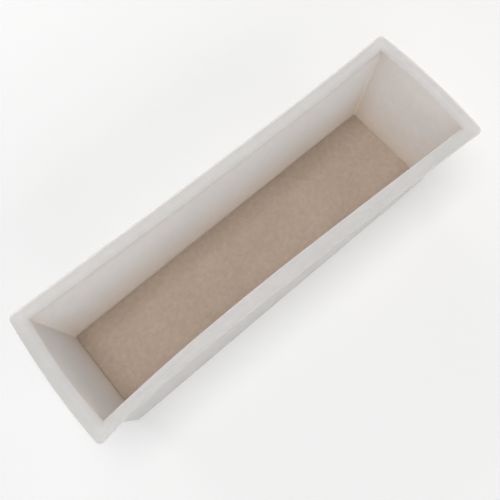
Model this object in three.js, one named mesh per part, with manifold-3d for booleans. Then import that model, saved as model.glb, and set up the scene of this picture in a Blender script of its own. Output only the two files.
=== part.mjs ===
// Soap loaf mould: a soft silicone trough with a flat rim all round, and a loose liner board on its floor.
// Millimetres, +Z up. The origin is the centre of the underside, on the surface that the mould stands on.
// X runs along the loaf and Y across it.

import * as THREE from 'three';
import { mergeVertices } from 'three/addons/utils/BufferGeometryUtils.js';
import Module from 'manifold-3d';

// Overall size
const HEIGHT = 78;
const RIM_HALF_LENGTH = 145;
const RIM_HALF_WIDTH = 45.2;

// Trough
const FLOOR_THICKNESS = 2.5;
const WALL_THICKNESS = 2.5;
const FLOOR_HALF_LENGTH = 130.3;
const FLOOR_HALF_WIDTH = 34.3;
const MOUTH_HALF_LENGTH = 135.7;
const MOUTH_HALF_WIDTH = 35.8;
const INNER_CORNER_RADIUS = 1.5;
const OUTER_CORNER_RADIUS = 2.6;
const BASE_EDGE_ROUNDING = 1;

// Rim: a flat flange with a slightly raised lip round the mouth
const FLANGE_THICKNESS = 2.8;
const FLANGE_EDGE_ROUNDING = 0.7;
const LIP_WIDTH = 4;
const LIP_HEIGHT = 0.6;
const LIP_SLOPE = 1;
const ROOT_FILLET = 2.5;

// How the soft rim stands when nothing holds it: its ends bow out and its sides pinch in
const RIM_BOW = 2.2;
const MOUTH_BOW = 2;
const PINCH = 1.5;

// Liner board
const LINER_THICKNESS = 1.8;
const LINER_CLEARANCE = 0.3;

// Facets
const LONG_SIDE_STEPS = 16;
const END_STEPS = 8;
const CORNER_STEPS = 5;
const WELD_DISTANCE = 0.0001;

// How far the middle of a quarter round stands in from its two tangent faces, as a share of its radius
const ARC_SAGITTA = 1 - Math.SQRT1_2;

const wasm = await Module();
wasm.setup();

const silicone = new THREE.MeshStandardMaterial({ color: 0xd8d5d0, roughness: 0.55, metalness: 0 });
const fibreBoard = new THREE.MeshStandardMaterial({ color: 0xa8927c, roughness: 0.9, metalness: 0 });

// A rounded rectangle whose straight sides carry extra points, so that they can bow.
function roundedRectangle(halfLength, halfWidth, radius) {
  const corners = [
    { x: 1, y: -1, stepsAfter: END_STEPS },
    { x: 1, y: 1, stepsAfter: LONG_SIDE_STEPS },
    { x: -1, y: 1, stepsAfter: END_STEPS },
    { x: -1, y: -1, stepsAfter: LONG_SIDE_STEPS },
  ];
  const quarter = Math.PI / 2;
  const centre = (corner) =>
    new THREE.Vector2(corner.x * (halfLength - radius), corner.y * (halfWidth - radius));
  const onArc = (corner, angle) =>
    centre(corner).add(new THREE.Vector2(Math.cos(angle), Math.sin(angle)).multiplyScalar(radius));
  const shape = new THREE.Shape();
  corners.forEach((corner, index) => {
    const start = (index - 1) * quarter;
    const end = start + quarter;
    const middle = centre(corner);
    if (index === 0) {
      const first = onArc(corner, start);
      shape.moveTo(first.x, first.y);
    }
    shape.absarc(middle.x, middle.y, radius, start, end, false);
    const sideStart = onArc(corner, end);
    const sideEnd = onArc(corners[(index + 1) % corners.length], end);
    for (let step = 1; step < corner.stepsAfter; step++) {
      const point = sideStart.clone().lerp(sideEnd, step / corner.stepsAfter);
      shape.lineTo(point.x, point.y);
    }
  });
  return shape;
}

// A closed solid through a stack of levels, each a rounded rectangle of its own size at its own height.
// bow moves the middle of the ends outwards, and pinch moves the middle of the long sides inwards.
function loft(levels, radius) {
  const base = levels[0];
  const steps = levels.length - 1;
  const geometry = new THREE.ExtrudeGeometry(
    roundedRectangle(base.halfLength, base.halfWidth, radius),
    { depth: steps, steps, bevelEnabled: false, curveSegments: CORNER_STEPS },
  );
  const position = geometry.attributes.position;
  for (let i = 0; i < position.count; i++) {
    const level = levels[Math.round(position.getZ(i))];
    const u = position.getX(i) / base.halfLength;
    const v = position.getY(i) / base.halfWidth;
    const x = u * level.halfLength + Math.sign(u) * level.bow * (1 - v * v);
    const y = v * level.halfWidth - Math.sign(v) * level.pinch * (1 - u * u);
    position.setXYZ(i, x, y, level.z);
  }
  return geometry;
}

function toSolid(geometry) {
  const plain = geometry.clone();
  plain.deleteAttribute('normal');
  plain.deleteAttribute('uv');
  const merged = mergeVertices(plain, WELD_DISTANCE);
  return new wasm.Manifold(new wasm.Mesh({
    numProp: 3,
    vertProperties: new Float32Array(merged.attributes.position.array),
    triVerts: new Uint32Array(merged.index.array),
  }));
}

function toGeometry(solid) {
  const mesh = solid.getMesh();
  const geometry = new THREE.BufferGeometry();
  geometry.setAttribute('position', new THREE.BufferAttribute(mesh.vertProperties, 3));
  geometry.setIndex(new THREE.BufferAttribute(mesh.triVerts, 1));
  geometry.computeVertexNormals();
  return geometry;
}

// The inside of the wall at a height: it drafts outwards from the floor to the mouth.
function innerLevel(z) {
  const share = (z - FLOOR_THICKNESS) / (HEIGHT - FLOOR_THICKNESS);
  return {
    z,
    halfLength: THREE.MathUtils.lerp(FLOOR_HALF_LENGTH, MOUTH_HALF_LENGTH, share),
    halfWidth: THREE.MathUtils.lerp(FLOOR_HALF_WIDTH, MOUTH_HALF_WIDTH, share),
    bow: MOUTH_BOW * share,
    pinch: PINCH * share,
  };
}

// The same level moved outwards by a distance, for the outer skin of the wall and for the rim.
function outsideOf(level, distance, z = level.z) {
  return {
    ...level,
    z,
    halfLength: level.halfLength + distance,
    halfWidth: level.halfWidth + distance,
  };
}

function rimLevel(z, inset) {
  return {
    z,
    halfLength: RIM_HALF_LENGTH - inset,
    halfWidth: RIM_HALF_WIDTH - inset,
    bow: RIM_BOW,
    pinch: PINCH,
  };
}

function siliconeMould() {
  const flangeTop = HEIGHT - LIP_HEIGHT;
  const flangeUnderside = flangeTop - FLANGE_THICKNESS;
  const floorEdge = outsideOf(innerLevel(FLOOR_THICKNESS), WALL_THICKNESS);
  const baseArc = BASE_EDGE_ROUNDING * ARC_SAGITTA;
  const filletStart = innerLevel(flangeUnderside - ROOT_FILLET);
  const filletArc = ROOT_FILLET * ARC_SAGITTA;
  const filletMiddle = innerLevel(flangeUnderside - filletArc);
  const filletEnd = innerLevel(flangeUnderside);
  const lipEdge = innerLevel(HEIGHT);
  const outside = loft([
    outsideOf(floorEdge, -BASE_EDGE_ROUNDING, 0),
    outsideOf(floorEdge, -baseArc, baseArc),
    outsideOf(floorEdge, 0, BASE_EDGE_ROUNDING),
    outsideOf(filletStart, WALL_THICKNESS),
    outsideOf(filletMiddle, WALL_THICKNESS + filletArc),
    outsideOf(filletEnd, WALL_THICKNESS + ROOT_FILLET),
    rimLevel(flangeUnderside, FLANGE_EDGE_ROUNDING),
    rimLevel(flangeUnderside + FLANGE_EDGE_ROUNDING, 0),
    rimLevel(flangeTop - FLANGE_EDGE_ROUNDING, 0),
    rimLevel(flangeTop, FLANGE_EDGE_ROUNDING),
    outsideOf(lipEdge, LIP_WIDTH, flangeTop),
    outsideOf(lipEdge, LIP_WIDTH - LIP_SLOPE, HEIGHT),
  ], OUTER_CORNER_RADIUS);
  const cavity = loft([
    innerLevel(FLOOR_THICKNESS),
    innerLevel(HEIGHT + LIP_HEIGHT),
  ], INNER_CORNER_RADIUS);
  const mesh = new THREE.Mesh(toGeometry(toSolid(outside).subtract(toSolid(cavity))), silicone);
  mesh.name = 'silicone_mould';
  return mesh;
}

function linerBoard() {
  const outline = roundedRectangle(
    FLOOR_HALF_LENGTH - LINER_CLEARANCE,
    FLOOR_HALF_WIDTH - LINER_CLEARANCE,
    INNER_CORNER_RADIUS,
  );
  const geometry = new THREE.ExtrudeGeometry(outline, {
    depth: LINER_THICKNESS,
    bevelEnabled: false,
    curveSegments: CORNER_STEPS,
  });
  const mesh = new THREE.Mesh(geometry, fibreBoard);
  mesh.name = 'liner_board';
  mesh.position.z = FLOOR_THICKNESS + LINER_CLEARANCE;
  return mesh;
}

const soapMould = new THREE.Group();
soapMould.add(siliconeMould());
soapMould.add(linerBoard());

export default soapMould;
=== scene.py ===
"""Soap loaf mould: the looks of a soft silicone loaf mould and of the liner board on its floor.

Metres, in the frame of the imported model: +X along the loaf, +Y across it, +Z up.
"""

import math

import bpy
import numpy as np
from mathutils import Matrix, Vector, noise


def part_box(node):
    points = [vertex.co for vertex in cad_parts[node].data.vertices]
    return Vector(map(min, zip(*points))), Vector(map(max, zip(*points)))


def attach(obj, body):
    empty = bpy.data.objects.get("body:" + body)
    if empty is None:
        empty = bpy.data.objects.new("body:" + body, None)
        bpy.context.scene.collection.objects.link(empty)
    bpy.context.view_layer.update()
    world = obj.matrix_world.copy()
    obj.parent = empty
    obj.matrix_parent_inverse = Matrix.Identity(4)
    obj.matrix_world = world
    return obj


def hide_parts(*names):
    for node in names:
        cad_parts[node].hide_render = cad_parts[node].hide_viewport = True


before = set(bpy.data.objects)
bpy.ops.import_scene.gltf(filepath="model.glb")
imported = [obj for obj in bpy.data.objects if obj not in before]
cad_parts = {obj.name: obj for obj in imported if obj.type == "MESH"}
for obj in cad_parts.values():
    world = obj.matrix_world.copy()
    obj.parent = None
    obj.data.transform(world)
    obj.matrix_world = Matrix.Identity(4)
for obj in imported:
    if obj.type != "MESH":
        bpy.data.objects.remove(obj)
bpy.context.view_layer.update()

MM = 0.001

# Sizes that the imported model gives, and the board's gap to the floor and to the walls
_, MOULD_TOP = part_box("silicone_mould")
BOARD_LOW, BOARD_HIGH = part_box("liner_board")
HEIGHT = MOULD_TOP.z
CLEARANCE = 0.3 * MM
FLOOR_Z = BOARD_LOW.z - CLEARANCE
FLOOR_HALF = (BOARD_HIGH.x + CLEARANCE, BOARD_HIGH.y + CLEARANCE)

# The section of the moulding
WALL = 2.5 * MM
FLANGE = 2.8 * MM
RIM_WIDTH = 9.35 * MM
LIP_WIDTH = 4 * MM
LIP_HEIGHT = 0.35 * MM
LIP_SLOPE = 3 * MM
ROOT_FILLET = 2.5 * MM
BASE_ROUND = 1.2 * MM
EDGE_ROUND = 1.15 * MM
LIP_ROUND = 0.6 * MM
FLOOR_FILLET = 0.8 * MM
OUTER_CORNER = 3.4 * MM
INNER_CORNER = 0.4 * MM
FLANGE_TOP = HEIGHT - LIP_HEIGHT
FLANGE_LOW = FLANGE_TOP - FLANGE

# How the soft rim stands when nothing holds it
BOW = 2.2 * MM
TWIST = math.radians(0.74)
FAR_PINCH = {"depth": 1.85 * MM, "skew": 0.6, "wall_power": 2.5, "edge_power": 2.5}
NEAR_PINCH = {"depth": 3.6 * MM, "skew": -0.6, "wall_power": 2, "edge_power": 5}
WAVE_DEPTH = 0.25 * MM
WAVE_LIFT = 0.5
WAVE_SCALE = 14
WAVE_SEED = 1

# Half sizes of the mouth at its corners
MOUTH_HALF = (MOULD_TOP.x - BOW - RIM_WIDTH, MOULD_TOP.y - RIM_WIDTH)

# Painted light: the board's tan bounce, painted up the foot of the translucent inner walls; painted
# shade in their corners
PAINTED_TAN_HEIGHT = 44 * MM
PAINTED_TAN_FALL = 1.3
CORNER_PAINTED_SHADE = 0.6
CORNER_SHADE_REACH = 7 * MM
CREASE_SHADE_REACH = 2.5 * MM

# The loose board
BOARD_HALF = (BOARD_HIGH.x, BOARD_HIGH.y)
BOARD_ROUND = 0.45 * MM
BOARD_CORNER = 0.8 * MM
BOARD_REST = 0.02 * MM

# Steps round each ring, and how far the rings that close a mesh stand in from the edge
SIDE_STEPS = 120
END_STEPS = 44
CORNER_STEPS = 9
CAP_INSET = 3 * MM

# Steps along the section
ROUND_STEPS = 5
SMALL_ROUND_STEPS = 4
FILLET_STEPS = 6
SLOPE_STEPS = 8
OUTER_WALL_STEPS = 10
INNER_WALL_STEPS = 16
UNDERSIDE_STEPS = 3
FLANGE_STEPS = 4


# ---------------------------------------------------------------- mesh tools

def ring_outline(half, radius):
    """Points round a rounded rectangle, always the same number of them, counter-clockwise."""
    corners = [(1, -1, END_STEPS), (1, 1, SIDE_STEPS), (-1, 1, END_STEPS), (-1, -1, SIDE_STEPS)]

    def on_corner(index, quarters):
        side_x, side_y, _ = corners[index % len(corners)]
        angle = math.pi / 2 * quarters
        return (side_x * (half[0] - radius) + radius * math.cos(angle),
                side_y * (half[1] - radius) + radius * math.sin(angle))

    points = []
    for index, (_, _, steps_after) in enumerate(corners):
        for step in range(CORNER_STEPS + 1):
            points.append(on_corner(index, index - 1 + step / CORNER_STEPS))
        points += line(points[-1], on_corner(index + 1, index), steps_after)
    return np.array(points)


def join_rings(name, rings):
    """A closed mesh through a list of rings of 3-D points, with a flat face over each end."""
    count = len(rings[0])
    vertices = np.concatenate(rings)
    faces = []
    for level in range(len(rings) - 1):
        low = level * count
        high = low + count
        for i in range(count):
            j = (i + 1) % count
            faces.append((low + i, low + j, high + j, high + i))
    last = (len(rings) - 1) * count
    faces.append(tuple(range(count - 1, -1, -1)))
    faces.append(tuple(range(last, last + count)))
    mesh = bpy.data.meshes.new(name)
    mesh.from_pydata(vertices.tolist(), [], faces)
    mesh.validate()
    mesh.shade_smooth()
    piece = bpy.data.objects.new(name, mesh)
    bpy.context.scene.collection.objects.link(piece)
    return piece


def arc(centre, radius, start, end, steps):
    """Points (across, up) on an arc, with angles in degrees, 0 pointing outwards and 90 up."""
    angles = np.radians(np.linspace(start, end, steps + 1))
    return [(centre[0] + radius * math.cos(a), centre[1] + radius * math.sin(a)) for a in angles]


def line(start, end, steps):
    """Points between two points, without the ends."""
    start, end = np.array(start), np.array(end)
    return [tuple(start + (end - start) * step / steps) for step in range(1, steps)]


def slope(start, end, steps):
    """A smooth S between two profile points, both ends included."""
    points = []
    for step in range(steps + 1):
        t = step / steps
        rise = t * t * (3 - 2 * t)
        points.append((start[0] + (end[0] - start[0]) * t, start[1] + (end[1] - start[1]) * rise))
    return points


# ------------------------------------------------------------ silicone mould

def height_share(z):
    """Where a height is between the inner floor, 0, and the top, 1. Below the floor it's negative."""
    return (z - FLOOR_Z) / (HEIGHT - FLOOR_Z)


def softness(z):
    """How much the silicone gives way at a height: 0 up to the floor, 1 at the rim."""
    return np.clip(height_share(z), 0, 1)


def wall_half(z):
    """Half sizes of the inside of the wall at a height: it drafts outwards from the floor."""
    return [f + (m - f) * height_share(z) for f, m in zip(FLOOR_HALF, MOUTH_HALF)]


def mould_profile():
    """The moulding's section: (how far outside the inner wall, height, which wall height it follows)."""
    outside = arc((WALL - BASE_ROUND, BASE_ROUND), BASE_ROUND, -90, 0, ROUND_STEPS)
    root_centre = (WALL + ROOT_FILLET, FLANGE_LOW - ROOT_FILLET)
    outside += line(outside[-1], (WALL, root_centre[1]), OUTER_WALL_STEPS)
    outside += arc(root_centre, ROOT_FILLET, 180, 90, FILLET_STEPS)
    outside.insert(0, (outside[0][0] - CAP_INSET, 0))

    edge = RIM_WIDTH - EDGE_ROUND
    lip_foot = (LIP_WIDTH + LIP_SLOPE / 2, FLANGE_TOP)
    lip_head = (LIP_WIDTH - LIP_SLOPE / 2, HEIGHT)
    rim = line(outside[-1], (edge, FLANGE_LOW), UNDERSIDE_STEPS)
    rim += arc((edge, FLANGE_LOW + EDGE_ROUND), EDGE_ROUND, -90, 0, ROUND_STEPS)
    rim += arc((edge, FLANGE_TOP - EDGE_ROUND), EDGE_ROUND, 0, 90, ROUND_STEPS)
    rim += line(rim[-1], lip_foot, FLANGE_STEPS)
    rim += slope(lip_foot, lip_head, SLOPE_STEPS)
    rim += line(rim[-1], (LIP_ROUND, HEIGHT), FLANGE_STEPS)
    rim += arc((LIP_ROUND, HEIGHT - LIP_ROUND), LIP_ROUND, 90, 180, SMALL_ROUND_STEPS)

    foot = FLOOR_Z + FLOOR_FILLET
    inside = line(rim[-1], (0, foot), INNER_WALL_STEPS)
    inside += arc((-FLOOR_FILLET, foot), FLOOR_FILLET, 0, -90, ROUND_STEPS)
    inside.append((inside[-1][0] - CAP_INSET, FLOOR_Z))

    profile = [(distance, z, z) for distance, z in outside]
    profile += [(distance, z, HEIGHT) for distance, z in rim]
    profile += [(distance, z, z) for distance, z in inside]
    return profile


def pinch_at(u, edge_share, pinch):
    """How far a long side of the rim stands in, at u from -1 to 1 along the mould."""
    power = pinch["wall_power"] + (pinch["edge_power"] - pinch["wall_power"]) * edge_share
    return pinch["depth"] * (1 - np.abs(u) ** power) * (1 + pinch["skew"] * u)


def relaxed_ring(distance, z, wall_z):
    """One ring of the mould, in the shape that the soft silicone takes by itself."""
    half = [h + distance for h in wall_half(wall_z)]
    edge_share = np.clip((distance - WALL) / (RIM_WIDTH - WALL), 0, 1)
    radius = INNER_CORNER + (OUTER_CORNER - INNER_CORNER) * edge_share
    if distance > 0 and z < FLANGE_LOW:
        radius = INNER_CORNER + distance
    flat = ring_outline(half, radius)
    u = flat[:, 0] / half[0]
    v = flat[:, 1] / half[1]
    pinch = np.where(v > 0, pinch_at(u, edge_share, FAR_PINCH), pinch_at(u, edge_share, NEAR_PINCH))
    x = flat[:, 0] + np.sign(u) * BOW * softness(z) * (1 - v * v)
    y = flat[:, 1] - np.sign(v) * pinch * softness(z)
    return np.column_stack((x, y, np.full(len(x), z)))


def twist(points):
    """Turns the base a little against the rim, as of a mould that was put down slightly askew."""
    angle = TWIST * (1 - softness(points[:, 2]))
    x = points[:, 0] * np.cos(angle) - points[:, 1] * np.sin(angle)
    y = points[:, 0] * np.sin(angle) + points[:, 1] * np.cos(angle)
    return np.column_stack((x, y, points[:, 2]))


def wave(points):
    """A slight unevenness of the soft walls: nothing at the base, most at the rim."""
    moved = points.copy()
    for point in moved:
        place = Vector(point) * WAVE_SCALE
        push = noise.noise_vector(place) * WAVE_DEPTH * softness(point[2])
        point[0] += push.x
        point[1] += push.y
        point[2] += WAVE_LIFT * push.z
    return moved


def corner_distance(ring):
    """How far each point of a ring is from the nearest upright corner."""
    along = np.max(np.abs(ring[:, 0])) - np.abs(ring[:, 0])
    across = np.max(np.abs(ring[:, 1])) - np.abs(ring[:, 1])
    return np.hypot(along, across)


def tan_light_and_shade_amount(distance, z, ring):
    """How much painted tan light and shade each point takes: none outside, most at the foot of the inner
    wall and in its corners.
    """
    outside_or_under = distance > WALL / 2 or z < FLOOR_Z / 2
    if outside_or_under:
        return np.zeros(len(ring))
    rise = max(0, 1 - (z - FLOOR_Z) / PAINTED_TAN_HEIGHT)
    # painted shade, tan, near the upright inner corners
    corner = CORNER_PAINTED_SHADE * np.exp(-corner_distance(ring) / CORNER_SHADE_REACH)
    return np.clip(rise ** PAINTED_TAN_FALL + corner, 0, 1)


def painted_shade_amount(distance, z, ring):
    """How much painted shade each point takes: most at the thin outer edge of the flange and in the
    inner creases.
    """
    in_trough = distance < LIP_ROUND / 2 and z > FLOOR_Z / 2
    if in_trough:
        # painted shade in the inner upright creases
        return np.exp(-corner_distance(ring) / CREASE_SHADE_REACH)
    if z < HEIGHT / 2:
        return np.zeros(len(ring))
    # painted shade across the flange, deepest at its outer edge
    share = (distance - LIP_WIDTH) / (RIM_WIDTH - LIP_WIDTH)
    return np.full(len(ring), np.clip(share, 0, 1))


def paint(piece, name, values):
    """Writes one number for each point of a piece, ring by ring, for its material to read."""
    attribute = piece.data.attributes.new(name, "FLOAT", "POINT")
    attribute.data.foreach_set("value", np.concatenate(values).astype(np.float32))


def silicone_mould():
    """The whole moulding, as one lofted skin that replaces the CAD solid."""
    # Without a seed, the noise takes one from the clock
    noise.seed_set(WAVE_SEED)
    profile = mould_profile()
    rings = [twist(wave(relaxed_ring(*level))) for level in profile]
    piece = join_rings("silicone_mould_soft", rings)
    levels = [(distance, z, ring) for (distance, z, _), ring in zip(profile, rings)]
    # Painted light and shade on the silicone: tan bounce light and corner shade, and grey shade at the
    # flange edge and in the creases
    paint(piece, "painted_tan_light_and_shade", [tan_light_and_shade_amount(*level) for level in levels])
    paint(piece, "painted_shade", [painted_shade_amount(*level) for level in levels])
    piece.data.materials.append(silicone_material())
    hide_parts("silicone_mould")
    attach(piece, "mould")


# --------------------------------------------------------------- liner board

def liner_board():
    """A sheet of fibre board with soft cut edges, lying on the silicone floor."""
    low = FLOOR_Z + BOARD_REST
    high = BOARD_HIGH.z
    profile = arc((-BOARD_ROUND, low + BOARD_ROUND), BOARD_ROUND, -90, 0, SMALL_ROUND_STEPS)
    profile += arc((-BOARD_ROUND, high - BOARD_ROUND), BOARD_ROUND, 0, 90, SMALL_ROUND_STEPS)
    profile = [(-CAP_INSET, low), *profile, (-CAP_INSET, high)]
    rings = []
    for distance, z in profile:
        corner = max(BOARD_CORNER + distance, BOARD_CORNER / 2)
        flat = ring_outline([h + distance for h in BOARD_HALF], corner)
        rings.append(twist(np.column_stack((flat, np.full(len(flat), z)))))
    piece = join_rings("liner_board_fibre", rings)
    piece.data.materials.append(board_material())
    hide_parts("liner_board")
    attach(piece, "liner")


# ----------------------------------------------------------------- materials

# Noise scales, in waves for each metre
CLOUD_SCALE = 22
SPECK_SCALE = 160
GRAIN_SCALE = 1400
SWELL_SCALE = 60
PATCH_SCALE = 28
MOTTLE_SCALE = 260
FIBRE_SCALE = 900
FIBRE_STRETCH = (0.25, 1, 1)

# Colours, in linear light. Each piece has a dim and a pale tone, mixed by noise, and the
# other colours multiply that mix.
PLAIN = (1, 1, 1)
SILICONE_DIM = (0.555, 0.546, 0.541)
SILICONE_PALE = (0.588, 0.573, 0.565)
SILICONE_SPECK = (0.95, 0.95, 0.945)
# Painted light and shade: the tan of light from the board, and two greys of painted shade
PAINTED_BOUNCE_TAN = (0.93, 0.8, 0.7)
PAINTED_SHADE_MID = (0.86, 0.855, 0.845)
PAINTED_SHADE_DEEP = (0.7, 0.695, 0.685)
BOARD_DIM = (0.74, 0.596, 0.48)
BOARD_PALE = (0.815, 0.656, 0.532)
BOARD_MOTTLE = (0.86, 0.84, 0.82)
BOARD_THREAD = (0.93, 0.92, 0.91)

# How the silicone refracts, and how far red, green and blue light spread inside it
SILICONE_IOR = 1.41
SCATTER_REACH = 18 * MM
SCATTER_SHARES = (1, 0.97, 0.94)


def new_material(name):
    """A node material: the material, its Principled shader, its nodes and its links."""
    material = bpy.data.materials.new(name)
    material.use_nodes = True
    nodes, links = material.node_tree.nodes, material.node_tree.links
    return material, nodes["Principled BSDF"], nodes, links


def noise_texture(nodes, links, scale, detail, roughness=0.5, stretch=(1, 1, 1)):
    """Noise over the piece's own metres."""
    coordinates = nodes.new("ShaderNodeTexCoord")
    mapping = nodes.new("ShaderNodeMapping")
    mapping.inputs["Scale"].default_value = stretch
    texture = nodes.new("ShaderNodeTexNoise")
    texture.inputs["Scale"].default_value = scale
    texture.inputs["Detail"].default_value = detail
    texture.inputs["Roughness"].default_value = roughness
    links.new(coordinates.outputs["Object"], mapping.inputs["Vector"])
    links.new(mapping.outputs["Vector"], texture.inputs["Vector"])
    return texture.outputs["Fac"]


def ramp(nodes, links, factor, stops):
    """A colour ramp with (place, colour) stops."""
    node = nodes.new("ShaderNodeValToRGB")
    elements = node.color_ramp.elements
    while len(elements) < len(stops):
        elements.new(0.5)
    for element, (place, colour) in zip(elements, stops):
        element.position = place
        element.color = (*colour, 1)
    links.new(factor, node.inputs["Fac"])
    return node.outputs["Color"]


def attribute(nodes, name):
    """What paint() wrote on the points of the piece."""
    node = nodes.new("ShaderNodeAttribute")
    node.attribute_name = name
    return node.outputs["Fac"]


def multiply(nodes, links, first, second):
    """One colour multiplied by another."""
    node = nodes.new("ShaderNodeMix")
    node.data_type = "RGBA"
    node.blend_type = "MULTIPLY"
    node.inputs["Factor"].default_value = 1
    sockets = [s for s in node.inputs if s.type == "RGBA"]
    links.new(first, sockets[0])
    links.new(second, sockets[1])
    return [s for s in node.outputs if s.type == "RGBA"][0]


def remap(nodes, links, value, low, high):
    """Stretches a value from 0 to 1 over low to high."""
    node = nodes.new("ShaderNodeMapRange")
    node.inputs["To Min"].default_value = low
    node.inputs["To Max"].default_value = high
    links.new(value, node.inputs["Value"])
    return node.outputs["Result"]


def bump(nodes, links, height, distance, strength, normal=None):
    """A normal bent by a height, on top of another bent normal if one is given."""
    node = nodes.new("ShaderNodeBump")
    node.inputs["Distance"].default_value = distance
    node.inputs["Strength"].default_value = strength
    links.new(height, node.inputs["Height"])
    if normal is not None:
        links.new(normal, node.inputs["Normal"])
    return node.outputs["Normal"]


def silicone_material():
    """Translucent white silicone: satin skin, faint cloudiness, fine moulded grain."""
    material, shader, nodes, links = new_material("silicone")
    cloud = noise_texture(nodes, links, CLOUD_SCALE, detail=3)
    speck = noise_texture(nodes, links, SPECK_SCALE, detail=5, roughness=0.65)
    grain = noise_texture(nodes, links, GRAIN_SCALE, detail=2)
    swell = noise_texture(nodes, links, SWELL_SCALE, detail=2)
    painted_tan_light_and_shade = attribute(nodes, "painted_tan_light_and_shade")
    painted_shade = attribute(nodes, "painted_shade")

    colour = ramp(nodes, links, cloud, [(0.3, SILICONE_DIM), (0.7, SILICONE_PALE)])
    # Random specks, then painted tan light and shade, then painted grey shade
    for shade in (
        ramp(nodes, links, speck, [(0.35, SILICONE_SPECK), (0.65, PLAIN)]),
        ramp(nodes, links, painted_tan_light_and_shade, [(0, PLAIN), (1, PAINTED_BOUNCE_TAN)]),
        ramp(nodes, links, painted_shade, [(0, PLAIN), (0.8, PAINTED_SHADE_MID), (1, PAINTED_SHADE_DEEP)]),
    ):
        colour = multiply(nodes, links, colour, shade)
    links.new(colour, shader.inputs["Base Color"])
    links.new(remap(nodes, links, speck, 0.42, 0.62), shader.inputs["Roughness"])
    shader.inputs["IOR"].default_value = SILICONE_IOR
    shader.inputs["Subsurface Weight"].default_value = 1
    shader.inputs["Subsurface Radius"].default_value = SCATTER_SHARES
    shader.inputs["Subsurface Scale"].default_value = SCATTER_REACH
    normal = bump(nodes, links, swell, distance=0.25 * MM, strength=0.5)
    normal = bump(nodes, links, grain, distance=0.05 * MM, strength=0.35, normal=normal)
    links.new(normal, shader.inputs["Normal"])
    return material


def board_material():
    """Kraft-brown fibre board: matt, mottled, with fine fibres."""
    material, shader, nodes, links = new_material("fibre_board")
    patch = noise_texture(nodes, links, PATCH_SCALE, detail=4)
    mottle = noise_texture(nodes, links, MOTTLE_SCALE, detail=6, roughness=0.7)
    fibre = noise_texture(nodes, links, FIBRE_SCALE, detail=3, stretch=FIBRE_STRETCH)

    colour = ramp(nodes, links, patch, [(0.3, BOARD_DIM), (0.7, BOARD_PALE)])
    for shade in (
        ramp(nodes, links, mottle, [(0.3, BOARD_MOTTLE), (0.7, PLAIN)]),
        ramp(nodes, links, fibre, [(0.3, BOARD_THREAD), (0.7, PLAIN)]),
    ):
        colour = multiply(nodes, links, colour, shade)
    links.new(colour, shader.inputs["Base Color"])
    links.new(remap(nodes, links, mottle, 0.8, 0.95), shader.inputs["Roughness"])
    shader.inputs["Specular IOR Level"].default_value = 0.3
    normal = bump(nodes, links, mottle, distance=0.15 * MM, strength=0.6)
    normal = bump(nodes, links, fibre, distance=0.05 * MM, strength=0.6, normal=normal)
    links.new(normal, shader.inputs["Normal"])
    return material


# ------------------------------------------------------- stage, light, camera

FLOOR_RADIUS = 1.2
FLOOR_SIDES = 96
FLOOR_WHITE = 0.95
FLOOR_GLOW = 0.1

SKY_STRENGTH = 0.27
HORIZON_STRENGTH = 0.75
HORIZON_REACH = 0.5

WHITE = (1, 1, 1)
AMBER = (1, 0.82, 0.7)

# Area lights: place, size, watts, colour
SOFT_BOXES = {
    "overhead": ((-0.15, 0, 1.3), (0.7, 0.7), 6.2, WHITE),
    "far side": ((0, 1, 0.32), (1.4, 0.5), 4.8, WHITE),
    "near side": ((0, -0.9, 0.58), (1.4, 0.5), 3.2, WHITE),
    "right end": ((1, 0, 0.14), (0.8, 0.22), 1.9, AMBER),
}

CAMERA_PLACE = Vector((-0.0778, -0.0861, 0.4087))
CAMERA_AIM = Vector((-0.0085, 0.0129, 0))
CAMERA_ROLL = math.radians(-4.55)
CAMERA_LENS = 42.8
CAMERA_SHIFT = 0.036
CAMERA_NEAREST = 0.01


def stage_floor():
    """A round white ground that glows faintly, so that it stays pale in every view."""
    angles = np.linspace(0, 2 * math.pi, FLOOR_SIDES, endpoint=False)
    outline = [(FLOOR_RADIUS * math.cos(a), FLOOR_RADIUS * math.sin(a), 0) for a in angles]
    mesh = bpy.data.meshes.new("floor")
    mesh.from_pydata(outline, [], [tuple(range(FLOOR_SIDES))])
    floor = bpy.data.objects.new("floor", mesh)
    bpy.context.scene.collection.objects.link(floor)
    material, shader, _, _ = new_material("floor")
    shader.inputs["Base Color"].default_value = (FLOOR_WHITE, FLOOR_WHITE, FLOOR_WHITE, 1)
    shader.inputs["Roughness"].default_value = 0.9
    shader.inputs["Specular IOR Level"].default_value = 0.2
    shader.inputs["Emission Color"].default_value = (1, 1, 1, 1)
    shader.inputs["Emission Strength"].default_value = FLOOR_GLOW
    mesh.materials.append(material)


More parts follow.
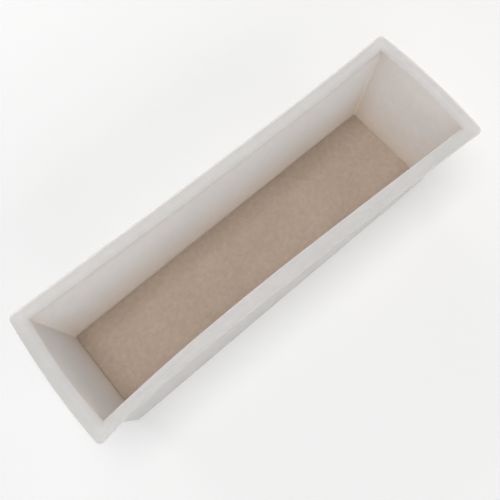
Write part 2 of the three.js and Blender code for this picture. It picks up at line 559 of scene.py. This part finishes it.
def soft_box(name, place, size, power, colour):
    """A rectangular area light that looks at the mould."""
    data = bpy.data.lights.new(name, "AREA")
    data.shape = "RECTANGLE"
    data.size, data.size_y = size
    data.energy = power
    data.color = colour
    light = bpy.data.objects.new(name, data)
    light.location = place
    light.visible_camera = False
    aim = Vector((0, 0, HEIGHT / 2))
    light.rotation_euler = (aim - Vector(place)).to_track_quat("-Z", "Y").to_euler()
    bpy.context.scene.collection.objects.link(light)


def sky():
    """A pale room all round: brightest up to the horizon, dimmer overhead."""
    world = bpy.data.worlds.new("studio")
    bpy.context.scene.world = world
    world.use_nodes = True
    nodes, links = world.node_tree.nodes, world.node_tree.links
    nodes["Background"].inputs["Color"].default_value = (1, 1, 1, 1)
    direction = nodes.new("ShaderNodeTexCoord")
    parts = nodes.new("ShaderNodeSeparateXYZ")
    strength = nodes.new("ShaderNodeMapRange")
    strength.inputs["From Max"].default_value = HORIZON_REACH
    strength.inputs["To Min"].default_value = HORIZON_STRENGTH
    strength.inputs["To Max"].default_value = SKY_STRENGTH
    links.new(direction.outputs["Generated"], parts.inputs["Vector"])
    links.new(parts.outputs["Z"], strength.inputs["Value"])
    links.new(strength.outputs["Result"], nodes["Background"].inputs["Strength"])


def studio():
    """The sky and the lights, shown without a film curve."""
    sky()
    for name, settings in SOFT_BOXES.items():
        soft_box(name, *settings)
    bpy.context.scene.view_settings.view_transform = "Standard"


def camera():
    """The photo's camera, from the perspective fit."""
    data = bpy.data.cameras.new("camera")
    data.lens = CAMERA_LENS
    data.shift_x = CAMERA_SHIFT
    data.clip_start = CAMERA_NEAREST
    eye = bpy.data.objects.new("camera", data)
    look = (CAMERA_AIM - CAMERA_PLACE).to_track_quat("-Z", "Y").to_matrix().to_4x4()
    eye.matrix_world = Matrix.Translation(CAMERA_PLACE) @ look @ Matrix.Rotation(CAMERA_ROLL, 4, "Z")
    bpy.context.scene.collection.objects.link(eye)
    bpy.context.scene.camera = eye


camera()
silicone_mould()
liner_board()
stage_floor()
studio()
